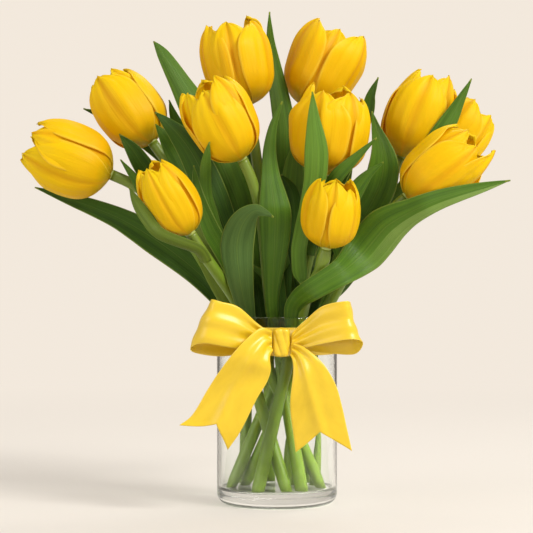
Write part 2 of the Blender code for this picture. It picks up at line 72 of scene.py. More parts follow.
nodes = sorted(frame["nodes"])

# %% [markdown]
# ## Shared helpers
# Surfaces are grids of points with two parameters, built with numpy and turned into meshes.

# %% Grid and mesh helpers
MM = 0.001
TURN = 2 * math.pi


def unit(vectors):
    """Scale vectors to length one: v / |v|."""
    vectors = np.asarray(vectors, float)
    return vectors / np.maximum(np.linalg.norm(vectors, axis=-1, keepdims=True), 1e-12)


def ease(value, low, high):
    """A smooth step from 0 at low to 1 at high: 3x^2 - 2x^3."""
    x = np.clip((np.asarray(value, float) - low) / (high - low), 0, 1)
    return x * x * (3 - 2 * x)


def smooth(rows, steps):
    """Catmull-Rom rows through the given rows, with `steps` rows in each span."""
    rows = np.asarray(rows, float)
    padded = np.concatenate([[2 * rows[0] - rows[1]], rows, [2 * rows[-1] - rows[-2]]])
    t = (np.arange(steps) / steps).reshape((-1,) + (1,) * (rows.ndim - 1))
    out = []
    for a, b, c, d in zip(padded[:-3], padded[1:-2], padded[2:-1], padded[3:]):
        out.append(0.5 * (2 * b + (c - a) * t + (2 * a - 5 * b + 4 * c - d) * t ** 2
                          + (3 * b - a - 3 * c + d) * t ** 3))
    return np.concatenate(out + [rows[-1:]])


def grid_mesh(name, grids, material, wrap=False, caps=False):
    """One mesh from a list of (rows, columns, 3) grids, with UV = (across, along).

    wrap joins the last column to the first, and caps closes the first and last rows.
    """
    points, faces, uvs = [], [], []
    start = 0
    for grid in grids:
        rows, columns = grid.shape[:2]
        ids = start + np.arange(rows * columns).reshape(rows, columns)
        if wrap:
            ids = np.concatenate([ids, ids[:, :1]], axis=1)
        quad = np.stack([ids[:-1, :-1], ids[:-1, 1:], ids[1:, 1:], ids[1:, :-1]], axis=-1)
        across = np.linspace(0, 1, ids.shape[1])
        along = np.linspace(0, 1, rows)
        uv = np.stack(np.meshgrid(across, along), axis=-1)
        corner = np.stack([uv[:-1, :-1], uv[:-1, 1:], uv[1:, 1:], uv[1:, :-1]], axis=2)
        faces += quad.reshape(-1, 4).tolist()
        uvs.append(corner.reshape(-1, 2))
        points.append(grid.reshape(-1, 3))
        if caps:
            for ring in (ids[0, :-1][::-1], ids[-1, :-1]):
                faces.append(ring.tolist())
                uvs.append(np.full((len(ring), 2), 0.5))
        start += rows * columns
    mesh = bpy.data.meshes.new(name)
    mesh.from_pydata(np.concatenate(points).tolist(), [], faces)
    layer = mesh.uv_layers.new(name="UVMap")
    layer.data.foreach_set("uv", np.concatenate(uvs).ravel())
    mesh.polygons.foreach_set("use_smooth", [True] * len(faces))
    mesh.update()
    mesh.materials.append(material)
    obj = bpy.data.objects.new(name, mesh)
    bpy.context.scene.collection.objects.link(obj)
    return obj


def thicken(obj, thickness):
    """Give a sheet its thickness, half of it on each side."""
    solid = obj.modifiers.new("thickness", "SOLIDIFY")
    solid.thickness = thickness
    solid.offset = 0.0


def weld(obj, distance=1e-6):
    """Join points that share a place, so that a ring closed by its profile has no seam."""
    shape = bmesh.new()
    shape.from_mesh(obj.data)
    bmesh.ops.remove_doubles(shape, verts=shape.verts, dist=distance)
    shape.to_mesh(obj.data)
    shape.free()


def finish_piece(obj, slot, *replaced):
    """Let a piece ride on the bunch and stand for its model nodes."""
    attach(obj, "root")
    if replaced:
        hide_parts(*replaced)


# %% [markdown]
# ## Reading the model
# A leaf in the model is a strip of rings. Counting edges outward from its tip gives the
# rings again, whatever order the vertices come in.

# %% Rings of a node
SAME_PLACE = 0.1 * MM


def node_points(name):
    """A node's vertices with doubles merged, and each vertex's neighbours."""
    mesh = bpy.data.objects[name].data
    raw = np.empty(len(mesh.vertices) * 3)
    mesh.vertices.foreach_get("co", raw)
    raw = raw.reshape(-1, 3)
    same = np.linalg.norm(raw[:, None] - raw[None], axis=-1) < SAME_PLACE
    first, inverse = np.unique(same.argmax(axis=1), return_inverse=True)
    points = raw[first]
    edges = np.empty(len(mesh.edges) * 2, dtype=np.int64)
    mesh.edges.foreach_get("vertices", edges)
    near = [set() for _ in first]
    for a, b in inverse[edges.reshape(-1, 2)]:
        if a != b:
            near[a].add(int(b))
            near[b].add(int(a))
    return points, near


def rings(points, near, start):
    """The vertices grouped by their number of edges from the start set."""
    step = {v: 0 for v in start}
    queue = deque(start)
    while queue:
        v = queue.popleft()
        for w in near[v]:
            if w not in step:
                step[w] = step[v] + 1
                queue.append(w)
    groups = [[] for _ in range(max(step.values()) + 1)]
    for v, k in step.items():
        groups[k].append(v)
    return [points[g] for g in groups]


# %% [markdown]
# ## Materials
# Colours are linear values. Every surface has its own pattern: petals have fine veins that
# run to the tip and a pale edge of painted light, leaves have parallel veins and a pale rim
# that is a painted highlight, stems have faint long streaks, and the ribbon has a satin
# weave with a soft sheen and soft patches of painted shade.

# %% Node helpers
def new_material(name):
    """A new material, its node tree and its Principled shader."""
    material = bpy.data.materials.new(name)
    material.use_nodes = True
    tree = material.node_tree
    return material, tree, tree.nodes["Principled BSDF"]


def add(tree, kind, **values):
    """A node with its properties set."""
    node = tree.nodes.new(kind)
    for key, value in values.items():
        setattr(node, key, value)
    return node


def link(tree, source, target):
    """Join two sockets."""
    tree.links.new(source, target)


def math_node(tree, operation, first, second=None):
    """A maths node fed by a socket and a socket or a number."""
    node = add(tree, "ShaderNodeMath", operation=operation)
    for socket, value in zip(node.inputs, (first, second)):
        if value is None:
            continue
        if isinstance(value, (int, float)):
            socket.default_value = value
        else:
            link(tree, value, socket)
    return node.outputs[0]


def mix_colour(tree, factor, first, second):
    """A colour between first and second, each a socket or a colour."""
    node = add(tree, "ShaderNodeMix", data_type="RGBA")
    for socket, value in ((node.inputs[0], factor), (node.inputs[6], first),
                          (node.inputs[7], second)):
        if isinstance(value, (int, float, tuple)):
            socket.default_value = value
        else:
            link(tree, value, socket)
    return node.outputs[2]


def ramp(tree, value, stops):
    """A colour ramp over a value: stops are (place, colour)."""
    node = add(tree, "ShaderNodeValToRGB")
    elements = node.color_ramp.elements
    while len(elements) < len(stops):
        elements.new(0.5)
    for element, (place, colour) in zip(elements, stops):
        element.position = place
        element.color = colour
    link(tree, value, node.inputs[0])
    return node.outputs[0]


def streaks(tree, across, along, scale, stretch, detail=3.0):
    """Noise drawn out along a blade: fine across it, slow along it."""
    uv = add(tree, "ShaderNodeTexCoord")
    mapping = add(tree, "ShaderNodeMapping")
    mapping.inputs["Scale"].default_value = (across, along, 1.0)
    link(tree, uv.outputs["UV"], mapping.inputs["Vector"])
    noise = add(tree, "ShaderNodeTexNoise")
    noise.inputs["Scale"].default_value = scale
    noise.inputs["Detail"].default_value = detail
    noise.inputs["Distortion"].default_value = stretch
    link(tree, mapping.outputs[0], noise.inputs["Vector"])
    return noise.outputs[0]


def contrast(tree, value, low=0.32, high=0.68):
    """A value stretched so that low becomes 0 and high becomes 1."""
    node = add(tree, "ShaderNodeMapRange")
    node.inputs["From Min"].default_value = low
    node.inputs["From Max"].default_value = high
    link(tree, value, node.inputs["Value"])
    return node.outputs[0]


def uv_parts(tree):
    """The across and along values of a surface's own UV."""
    uv = add(tree, "ShaderNodeTexCoord")
    split = add(tree, "ShaderNodeSeparateXYZ")
    link(tree, uv.outputs["UV"], split.inputs[0])
    return split.outputs[0], split.outputs[1]


def from_centre(tree, across):
    """The distance from the middle of a blade: |across - 0.5|."""
    return math_node(tree, "ABSOLUTE", math_node(tree, "SUBTRACT", across, 0.5))


def bump(tree, shader, height, strength, distance=0.0004):
    """Raise the surface by a height pattern."""
    node = add(tree, "ShaderNodeBump")
    node.inputs["Strength"].default_value = strength
    node.inputs["Distance"].default_value = distance
    link(tree, height, node.inputs["Height"])
    link(tree, node.outputs[0], shader.inputs["Normal"])


def mix_shaders(tree, share, first, second):
    """Send a blend of two shaders to the surface, share being a number or a socket."""
    mix = add(tree, "ShaderNodeMixShader")
    if isinstance(share, float):
        mix.inputs[0].default_value = share
    else:
        link(tree, share, mix.inputs[0])
    link(tree, first.outputs[0], mix.inputs[1])
    link(tree, second.outputs[0], mix.inputs[2])
    link(tree, mix.outputs[0], tree.nodes["Material Output"].inputs["Surface"])


def let_light_through(tree, shader, colour, amount):
    """Mix in light that passes through a thin blade or petal."""
    glow = add(tree, "ShaderNodeBsdfTranslucent")
    link(tree, colour, glow.inputs["Color"])
    mix_shaders(tree, amount, shader, glow)


# %% Petal material
def petal_material(name, warm):
    """Yellow petal: green-gold at the foot, deeper along the rib, fine veins to the tip."""
    material, tree, shader = new_material(name)
    across, along = uv_parts(tree)
    body = ramp(tree, along, [
        (0.0, (0.55, 0.44, 0.01, 1)), (0.14, (0.92, 0.60 - warm, 0.001, 1)),
        (0.55, (0.97, 0.71 - warm, 0.001, 1)), (1.0, (0.99, 0.79 - warm, 0.004, 1))])
    centre = from_centre(tree, across)
    near_rib = math_node(tree, "MULTIPLY", centre, 9.0)
    body = mix_colour(tree, math_node(tree, "MINIMUM", near_rib, 1.0),
                      (0.86, 0.50 - warm, 0.001, 1), body)
    veins = streaks(tree, 30.0, 1.0, 1.6, 0.35)
    broad = streaks(tree, 7.0, 0.7, 1.2, 0.5)
    body = mix_colour(tree, math_node(tree, "MULTIPLY", veins, 0.30), body,
                      (0.82, 0.44, 0.001, 1))
    body = mix_colour(tree, math_node(tree, "MULTIPLY", broad, 0.35), body,
                      (0.98, 0.77, 0.012, 1))
    # The pale band at the petal's edges is painted light: the glow of light through the
    # thin edge.
    edge = math_node(tree, "MULTIPLY", math_node(tree, "SUBTRACT", centre, 0.45), 14.0)
    edge = math_node(tree, "MINIMUM", math_node(tree, "MAXIMUM", edge, 0.0), 0.6)
    body = mix_colour(tree, edge, body, (0.98, 0.74, 0.06, 1))
    link(tree, body, shader.inputs["Base Color"])
    shader.inputs["Roughness"].default_value = 0.42
    shader.inputs["Specular IOR Level"].default_value = 0.18
    bump(tree, shader, veins, 0.9, 0.0006)
    let_light_through(tree, shader, body, 0.42)
    return material


# %% Leaf, stem and stamen materials
# Each tone is a deep and a light colour for a leaf's streaks. The dark tone is painted
# shade and the light tone painted light: shaded and lit copies of one leaf green.
LEAF_TONES = {
    "dark": ((0.012, 0.046, 0.001, 1), (0.062, 0.150, 0.005, 1)),
    "mid": ((0.024, 0.078, 0.002, 1), (0.110, 0.235, 0.012, 1)),
    "light": ((0.046, 0.130, 0.005, 1), (0.175, 0.340, 0.030, 1)),
    "olive": ((0.060, 0.105, 0.003, 1), (0.145, 0.215, 0.012, 1)),
    "folded": ((0.024, 0.078, 0.002, 1), (0.110, 0.235, 0.012, 1)),
    "under": ((0.038, 0.090, 0.012, 1), (0.100, 0.185, 0.034, 1)),
}


def leaf_material(tone):
    """Waxy blade: parallel veins, a lighter rib and a pale rim that is a painted highlight.

    The folded tone has its lower half pale near the tip, where the blade turns over.
    """
    material, tree, shader = new_material("leaf_" + tone)
    deep, light = LEAF_TONES[tone]
    across, along = uv_parts(tree)
    broad = contrast(tree, streaks(tree, 6.0, 0.8, 1.3, 0.4))
    fine = contrast(tree, streaks(tree, 42.0, 0.6, 1.5, 0.2))
    body = mix_colour(tree, broad, deep, light)
    body = mix_colour(tree, math_node(tree, "MULTIPLY", fine, 0.6), body, light)
    centre = from_centre(tree, across)
    rib = math_node(tree, "LESS_THAN", centre, 0.014)
    body = mix_colour(tree, math_node(tree, "MULTIPLY", rib, 0.35), body,
                      (0.16, 0.25, 0.03, 1))
    # The pale rim is a painted highlight along the leaf's edge.
    edge = math_node(tree, "GREATER_THAN", centre, 0.470)
    body = mix_colour(tree, math_node(tree, "MULTIPLY", edge, 0.75), body,
                      (0.22, 0.30, 0.04, 1))
    if tone == "folded":
        lower = math_node(tree, "GREATER_THAN", across, 0.66)
        turned_side = math_node(tree, "MULTIPLY", lower, contrast(tree, along, 0.45, 0.62))
        pale = mix_colour(tree, fine, (0.17, 0.29, 0.04, 1), (0.27, 0.41, 0.09, 1))
        body = mix_colour(tree, turned_side, body, pale)
    tip = math_node(tree, "GREATER_THAN", along, 0.985)
    body = mix_colour(tree, math_node(tree, "MULTIPLY", tip, 0.6), body,
                      (0.30, 0.34, 0.03, 1))
    link(tree, body, shader.inputs["Base Color"])
    shader.inputs["Roughness"].default_value = 0.44 if tone != "under" else 0.6
    shader.inputs["Specular IOR Level"].default_value = 0.3
    bump(tree, shader, fine, 0.6)
    let_light_through(tree, shader, body, 0.18)
    return material


def stem_material():
    """Round stem: smooth yellow-green skin, lighter at the foot, with long streaks."""
    material, tree, shader = new_material("stem_skin")
    _, along = uv_parts(tree)
    body = ramp(tree, along, [
        (0.0, (0.17, 0.27, 0.018, 1)), (0.30, (0.13, 0.225, 0.011, 1)),
        (0.7, (0.11, 0.19, 0.010, 1)), (1.0, (0.13, 0.18, 0.012, 1))])
    fine = streaks(tree, 14.0, 2.0, 1.5, 0.3)
    body = mix_colour(tree, math_node(tree, "MULTIPLY", fine, 0.5), body,
                      (0.21, 0.31, 0.020, 1))
    link(tree, body, shader.inputs["Base Color"])
    shader.inputs["Roughness"].default_value = 0.42
    shader.inputs["Subsurface Weight"].default_value = 0.1
    shader.inputs["Subsurface Radius"].default_value = (0.002, 0.003, 0.0005)
    bump(tree, shader, fine, 0.25)
    return material


def satin_material():
    """Yellow satin: fine diagonal weave, soft darker patches of painted shade for the
    hollows of the folds, a sheen and a pale edge.
    """
    material, tree, shader = new_material("ribbon_satin")
    across, _ = uv_parts(tree)
    weave = add(tree, "ShaderNodeTexWave", wave_type="BANDS", bands_direction="DIAGONAL")
    weave.inputs["Scale"].default_value = 130.0
    uv = add(tree, "ShaderNodeTexCoord")
    link(tree, uv.outputs["UV"], weave.inputs["Vector"])
    # Soft darker patches of painted shade, standing for the hollows of the folds.
    soft = streaks(tree, 3.0, 5.0, 1.4, 0.2)
    body = mix_colour(tree, soft, (0.66, 0.43, 0.006, 1), (0.84, 0.57, 0.015, 1))
    centre = from_centre(tree, across)
    edge = math_node(tree, "GREATER_THAN", centre, 0.485)
    body = mix_colour(tree, math_node(tree, "MULTIPLY", edge, 0.5), body,
                      (0.92, 0.66, 0.07, 1))
    link(tree, body, shader.inputs["Base Color"])
    shader.inputs["Roughness"].default_value = 0.37
    shader.inputs["Specular IOR Level"].default_value = 0.6
    shader.inputs["Anisotropic"].default_value = 0.4
    shader.inputs["Sheen Weight"].default_value = 0.2
    shader.inputs["Sheen Roughness"].default_value = 0.35
    shader.inputs["Sheen Tint"].default_value = (1.0, 0.92, 0.6, 1)
    bump(tree, shader, weave.outputs[0], 0.05, 0.0001)
    return material


def plain_material(name, colour, roughness):
    """One colour broken up by a fine noise, for small parts."""
    material, tree, shader = new_material(name)
    place = add(tree, "ShaderNodeTexCoord")
    noise = add(tree, "ShaderNodeTexNoise")
    noise.inputs["Scale"].default_value = 900.0
    link(tree, place.outputs["Object"], noise.inputs["Vector"])
    darker = tuple(c * 0.6 for c in colour[:3]) + (1.0,)
    body = mix_colour(tree, noise.outputs[0], darker, colour)
    link(tree, body, shader.inputs["Base Color"])
    shader.inputs["Roughness"].default_value = roughness
    bump(tree, shader, noise.outputs[0], 0.2, 0.0002)
    return material


# The paper's places are in metres along Y, with the vase at 0.
PAPER_GLOW = (0.896, 0.815, 0.720, 1)
PAPER_DIM_BEFORE = -0.12
PAPER_GLOW_STARTS = 0.1
PAPER_GLOW_FULL = 1.5
PAPER_GLOW_LEAST = 0.30


def paper_material():
    """Smooth warm white paper with the faintest mottling.

    Seen straight from the camera it also glows, more so away from the vase, so that the
    backdrop stays an even pale colour without more light on the bunch.
    """
    material, tree, shader = new_material("backdrop_paper")
    place = add(tree, "ShaderNodeTexCoord")
    noise = add(tree, "ShaderNodeTexNoise")
    noise.inputs["Scale"].default_value = 260.0
    link(tree, place.outputs["Object"], noise.inputs["Vector"])
    body = mix_colour(tree, noise.outputs[0], (0.685, 0.645, 0.590, 1),
                      (0.715, 0.675, 0.620, 1))
    parts = add(tree, "ShaderNodeSeparateXYZ")
    link(tree, place.outputs["Object"], parts.inputs[0])
    path = add(tree, "ShaderNodeLightPath")
    # The paper in front of the vase is dim to sharp rays, which keeps a pale veil off the
    # glass.
    front = math_node(tree, "LESS_THAN", parts.outputs["Y"], PAPER_DIM_BEFORE)
    front = math_node(tree, "MULTIPLY", front, path.outputs["Is Singular Ray"])
    body = mix_colour(tree, math_node(tree, "MULTIPLY", front, 0.8), body,
                      (0.06, 0.055, 0.05, 1))
    link(tree, body, shader.inputs["Base Color"])
    shader.inputs["Roughness"].default_value = 0.85
    shader.inputs["Specular IOR Level"].default_value = 0.1
    glow = add(tree, "ShaderNodeEmission")
    glow.inputs["Color"].default_value = PAPER_GLOW
    depth = add(tree, "ShaderNodeMapRange", interpolation_type="SMOOTHSTEP")
    depth.inputs["From Min"].default_value = PAPER_GLOW_STARTS
    depth.inputs["From Max"].default_value = PAPER_GLOW_FULL
    depth.inputs["To Min"].default_value = PAPER_GLOW_LEAST
    link(tree, parts.outputs["Y"], depth.inputs["Value"])
    share = math_node(tree, "MULTIPLY", depth.outputs[0], path.outputs["Is Camera Ray"])
    mix_shaders(tree, share, shader, glow)
    return material


def glass_material():
    """Clear soda glass with a very faint green cast, which lets the lamps shine through."""
    material, tree, shader = new_material("vase_glass")
    shader.inputs["Base Color"].default_value = (0.985, 1.0, 0.992, 1)
    shader.inputs["Roughness"].default_value = 0.0
    shader.inputs["IOR"].default_value = 1.45
    shader.inputs["Transmission Weight"].default_value = 1.0
    path = add(tree, "ShaderNodeLightPath")
    clear = add(tree, "ShaderNodeBsdfTransparent")
    clear.inputs["Color"].default_value = (0.93, 0.96, 0.93, 1)
    mix_shaders(tree, path.outputs["Is Shadow Ray"], shader, clear)
    return material


petal_skins = [petal_material(name, warm)
               for name, warm in (("petal_a", 0.0), ("petal_b", 0.02), ("petal_c", 0.04))]
leaf_skins = {tone: leaf_material(tone) for tone in LEAF_TONES}
stem_skin = stem_material()
satin = satin_material()
glass = glass_material()
pistil_skin = plain_material("pistil", (0.42, 0.50, 0.12, 1), 0.5)
anther_skin = plain_material("anther", (0.55, 0.38, 0.05, 1), 0.8)

# %% [markdown]
# ## Camera, light and backdrop
# The bunch is seen from straight in front with a long lens. A large soft light stands to
# the upper right, a pale fill to the left, a weak light behind, and the floor runs up into
# the backdrop.

# %% Stage
SENSOR_WIDTH = 36.0
LENS_LENGTH = 126.64
CAMERA_PLACE = (-0.0084, -1.5, 0.1893)
ROOM_LIGHT = 0.62
GLASS_ROOM_LIGHT = 0.20
FLOOR_FRONT = -3.0
SWEEP_START = 2.4
SWEEP_RADIUS = 0.8
WALL_TOP = 4.0
STAGE_HALF = 4.0

scene = bpy.context.scene
scene.view_settings.view_transform = "Standard"
lens = bpy.data.cameras.new("camera")
lens.sensor_width = SENSOR_WIDTH
lens.lens = LENS_LENGTH
lens.clip_end = 20.0
camera = bpy.data.objects.new("camera", lens)
camera.location = CAMERA_PLACE
camera.rotation_euler = (math.radians(90), 0, 0)
scene.collection.objects.link(camera)
scene.camera = camera


def area_light(name, place, aim, size, power, colour):
    """A square soft light at a place, turned towards a point."""
    data = bpy.data.lights.new(name, "AREA")
    data.size = size
    data.energy = power
    data.color = colour
    obj = bpy.data.objects.new(name, data)
    obj.location = place
    away = np.array(place) - np.array(aim)
    obj.rotation_euler = (math.atan2(math.hypot(away[0], away[1]), away[2]), 0,
                          math.atan2(away[1], away[0]) + math.pi / 2)
    scene.collection.objects.link(obj)


area_light("key", (2.3, -1.8, 2.3), (0, 0, 0.2), 1.1, 122.0, (1.0, 0.985, 0.96))
area_light("fill", (-1.6, -1.3, 0.7), (0, 0, 0.2), 1.2, 12.0, (1.0, 0.99, 0.97))
area_light("back", (0.4, 0.9, 1.5), (0, 0, 0.3), 0.6, 7.0, (1.0, 0.98, 0.95))

world = bpy.data.worlds.new("world")
world.use_nodes = True
world_tree = world.node_tree
background = world_tree.nodes["Background"]
background.inputs["Color"].default_value = (1.0, 0.975, 0.945, 1)
path = add(world_tree, "ShaderNodeLightPath")
# Sharp reflections and refractions find a darker room, which draws the edges of the glass.
dimmed = math_node(world_tree, "MULTIPLY", path.outputs["Is Singular Ray"],
                   GLASS_ROOM_LIGHT - ROOM_LIGHT)
room = math_node(world_tree, "ADD", dimmed, ROOM_LIGHT)
link(world_tree, room, background.inputs["Strength"])
scene.world = world

profile = [(FLOOR_FRONT, 0.0), (SWEEP_START, 0.0)]
profile += [(SWEEP_START + SWEEP_RADIUS * math.sin(a), SWEEP_RADIUS * (1 - math.cos(a)))
            for a in np.linspace(0.1, math.pi / 2, 12)]
profile += [(SWEEP_START + SWEEP_RADIUS, WALL_TOP)]
sweep = np.array([[(x, y, z) for x in (-STAGE_HALF, 0.0, STAGE_HALF)] for y, z in profile])
backdrop = grid_mesh("backdrop", [sweep], paper_material())

# %% [markdown]
# ## Stems
# A tulip stem is a round rod that tapers towards its flower. Its centre line and thickness
# come from the model's rings, found as clusters of points, and a fine tube is drawn over
# them.

# %% Draw the stems
STEM_SIDES = 20
RING_REACH = 6 * MM
RING_ROUNDS = 8     # enough rounds for a label to pass right round a ring
SPAN_ROWS = 5       # fine rows in each span between two of the model's rings


def stem_rings(points):
    """A stem's rings from the foot up: points within reach hang together as one ring."""
    close = np.linalg.norm(points[:, None] - points[None], axis=-1) < RING_REACH
    label = np.arange(len(points))
    for _ in range(RING_ROUNDS):
        label = np.where(close, label[None], len(points)).min(axis=1)
    groups = [points[label == k] for k in np.unique(label)]
    centres = np.array([g.mean(axis=0) for g in groups])
    order = [int(centres[:, 2].argmin())]
    while len(order) < len(groups):
        gap = np.linalg.norm(centres - centres[order[-1]], axis=1)
        gap[order] = np.inf
        order.append(int(gap.argmin()))
    return [groups[k] for k in order]


def tube_grid(line, radius, sides):
    """Circles of the given radius around each point of a line."""
    tangent = unit(np.gradient(line, axis=0))
    across = unit(np.cross(tangent, (0.0, 1.0, 0.0)))
    other = np.cross(tangent, across)
    angle = np.arange(sides) * TURN / sides
    ring = (across[:, None] * np.cos(angle)[None, :, None]
            + other[:, None] * np.sin(angle)[None, :, None])
    return line[:, None] + ring * radius[:, None, None]


stem_ends = {}
for name in [n for n in nodes if n.startswith("stem_")]:
    groups = stem_rings(node_points(name)[0])
    line = np.array([g.mean(axis=0) for g in groups])
    radius = np.array([np.linalg.norm(g - g.mean(axis=0), axis=1).mean() for g in groups])
    fine = smooth(np.column_stack([line, radius]), SPAN_ROWS)
    grid = tube_grid(fine[:, :3], fine[:, 3], STEM_SIDES)
    grid[0, :, 2] = line[0, 2]
    piece = grid_mesh(name.replace("stem_", "tulip_stem_"), [grid], stem_skin,
                      wrap=True, caps=True)
    finish_piece(piece, "stem", name)
    stem_ends[name[-2:]] = fine[-1, :3]
print("stems", len(stem_ends))

# %% [markdown]
# ## Leaves
# A tulip leaf is a long channel that clasps the stem, widens, and runs to a soft point. The
# model gives its two edges and its crease, and a curved blade is laid through them.

# %% Draw the leaves
LEAF_COLUMNS = 17
LEAF_THICKNESS = 0.7 * MM
LEAF_RING = 6       # a ring has an upper and a lower point at each edge and at the crease
LEAF_LOOK = {
    # every other leaf has the mid tone; dark is painted shade, light is painted light
    "leaf_left_low": "dark", "leaf_left_olive": "olive", "leaf_front_curl": "under",
    "leaf_left_mid": "light", "leaf_left_dark": "dark", "leaf_left_broad": "dark",
    "leaf_far_left": "dark", "leaf_centre_dark": "dark", "leaf_centre_pale": "light",
    "leaf_centre_right": "light", "leaf_right_back": "dark", "leaf_right_sweep": "folded",
    "leaf_right_low": "under", "leaf_bract": "olive",
}


def leaf_rows(name):
    """One edge, the crease and the other edge of a leaf, from its foot to its tip.

    The tip is the tightest cluster of a ring's number of points. In each ring the nearest
    points pair up as upper and lower, and the pair nearest to the others is the crease.
    """
    points, near = node_points(name)
    gaps = np.linalg.norm(points[:, None] - points[None], axis=-1)
    tip = np.sort(gaps, axis=1)[:, LEAF_RING - 1].argmin()
    start = [int(i) for i in gaps[tip].argsort()[:LEAF_RING]]
    rows = []
    for group in rings(points, near, start)[::-1]:
        if len(group) != LEAF_RING:
            continue
        gap = np.linalg.norm(group[:, None] - group[None], axis=-1)
        order = []
        left = set(range(LEAF_RING))
        while left:
            _, upper, lower = min((gap[i, j], i, j) for i in left for j in left if i < j)
            order.append((group[upper] + group[lower]) / 2)
            left -= {upper, lower}
        order = np.array(order)
        total = np.linalg.norm(order[:, None] - order[None], axis=-1).sum(axis=1)
        middle = int(total.argmin())
        edges = [i for i in range(3) if i != middle]
        rows.append([order[edges[0]], order[middle], order[edges[1]]])
    rows = np.array(rows)
    for i in range(1, len(rows)):
        straight = np.linalg.norm(rows[i][[0, 2]] - rows[i - 1][[0, 2]], axis=-1).sum()
        crossed = np.linalg.norm(rows[i][[2, 0]] - rows[i - 1][[0, 2]], axis=-1).sum()
        if crossed < straight:
            rows[i] = rows[i][[2, 1, 0]]
    return rows


def leaf_surface(rows, seed):
    """A channelled blade through edges and crease: crease + u * span + |u|^1.7 * lift.

    A wave along the blade, growing with |u|^3, ripples its edges.
    """
    rows = smooth(rows, SPAN_ROWS)
    u = np.linspace(-1, 1, LEAF_COLUMNS)
    left, crease, right = rows[:, 0], rows[:, 1], rows[:, 2]
    span = (right - left) / 2
    lift = (left + right) / 2 - crease
    grid = (crease[:, None] + span[:, None] * u[None, :, None]
            + lift[:, None] * (np.abs(u) ** 1.7)[None, :, None])
    width = np.linalg.norm(span, axis=1)
    normal = unit(np.cross(span, np.gradient(crease, axis=0)))
    along = np.linspace(0, 1, len(rows))
    wave = np.sin(along * (9 + seed % 3) + seed) * ease(along, 0.15, 0.4)
    ripple = wave[:, None] * np.sign(u)[None] * np.abs(u)[None] ** 3 * 0.05
    return grid + normal[:, None] * (ripple * width[:, None])[..., None]


leaves = [n for n in nodes if n.startswith("leaf_")]
for seed, name in enumerate(leaves):
    grid = leaf_surface(leaf_rows(name), seed)
    piece = grid_mesh(name.replace("leaf_", "blade_"), [grid],
                      leaf_skins[LEAF_LOOK.get(name, "mid")])
    thicken(piece, LEAF_THICKNESS)
    finish_piece(piece, "leaf", name)
print("leaves", len(leaves))

# %% [markdown]
# The lowest leaves wrap the stems with their sheaths. These fill the neck of the bunch,
# from behind the ribbon band to above the rim.

# %% Leaf sheaths
SHEATH_ROWS = 12
SHEATHS = [
    # foot, middle and top of the crease in mm, half width, tone, where dark is painted
    # shade and light is painted light
    ((2, -8, 118), (0, -4, 160), (-6, 2, 246), 9, "dark"),
    ((14, -2, 118), (18, 2, 160), (24, 8, 258), 9, "mid"),
    ((24, 0, 118), (34, 4, 158), (58, 12, 232), 8, "dark"),
    ((-8, 2, 118), (-14, 8, 160), (-26, 14, 250), 10, "dark"),
    ((-20, 6, 118), (-28, 10, 156), (-52, 12, 226), 8, "mid"),
    ((8, 16, 118), (8, 24, 160), (12, 32, 270), 11, "dark"),
    ((30, -14, 118), (36, -14, 150), (50, -14, 196), 6, "light"),
]


def sheath_rows(foot, middle, top, half):
    """Edges and crease of a sheath along a parabola: (1-t)^2 a + 2t(1-t) b + t^2 c."""
    t = np.linspace(0, 1, SHEATH_ROWS)[:, None]
    a, c = np.array(foot, float), np.array(top, float)
    b = 2 * np.array(middle, float) - (a + c) / 2
    crease = ((1 - t) ** 2 * a + 2 * t * (1 - t) * b + t ** 2 * c) * MM
    width = half * MM * np.sqrt(np.clip(1 - t ** 2, 0.003, 1))
    side = np.array((1.0, 0.0, 0.0))
    back = np.array((0.0, 0.35, 0.0))
    left = crease - side * width + back * width
    right = crease + side * width + back * width
    return np.stack([left, crease, right], axis=1)


for k, (foot, middle, top, half, tone) in enumerate(SHEATHS):
    grid = leaf_surface(sheath_rows(foot, middle, top, half), k)
    piece = grid_mesh(f"sheath_{k + 1}", [grid], leaf_skins[tone])
    thicken(piece, LEAF_THICKNESS)
    finish_piece(piece, "leaf")

# %% [markdown]
# ## Flowers
# A tulip has three outer and three inner petals, cupped round a green pistil and six
# stamens. Each petal is a curved shell: wide and round at the belly, drawn in at the mouth.

# %% Petals
PETAL_ROWS = 40
PETAL_COLUMNS = 33
PETAL_THICKNESS = 0.6 * MM
OUTER_HALF, INNER_HALF = 56, 57     # half the angle that a petal spans, in degrees
# Depths and rises of a petal's surface, as shares of the cup's radius.
INNER_LAYER = 0.075
LEAN = 0.10
RIB_DEPTH = 0.030
SHOULDER_RISE = 0.018
PLEAT_RISE = 0.011
RIDGE_RISE = 0.028
FRILL_RISE = 0.026
OVERLAP = 0.020
LIP_RISE = 0.020
THINNEST = 0.05
CURVE_STEPS = 12

# Each flower's turn about its axis in degrees, and how far its mouth opens.
FLOWER_TURN = {"01": 30, "02": 15, "03": 62, "04": 8, "05": -52, "06": 25, "07": 12,
               "08": 25, "09": -14, "10": 15, "11": 62}
FLOWER_OPEN = {"01": 0.05, "02": 0.05, "03": 0.16, "04": 0.12, "05": 0.20, "06": 0.14,
               "07": 0.12, "08": 0.15, "09": 0.16, "10": 0.03, "11": 0.05}

# The cup's radius and a petal's width, as shares of their largest, up the cup from 0 to 1.
PROFILE_T = (0.0, 0.03, 0.08, 0.16, 0.28, 0.42, 0.56, 0.70, 0.82, 0.92, 1.0)
PROFILE_R = (0.10, 0.34, 0.58, 0.80, 0.95, 1.0, 0.99, 0.93, 0.82, 0.69, 0.54)
FOOT_T = (0.0, 0.05, 0.12, 0.25, 0.45, 1.0)
FOOT_W = (0.30, 0.55, 0.76, 0.93, 1.0, 1.0)


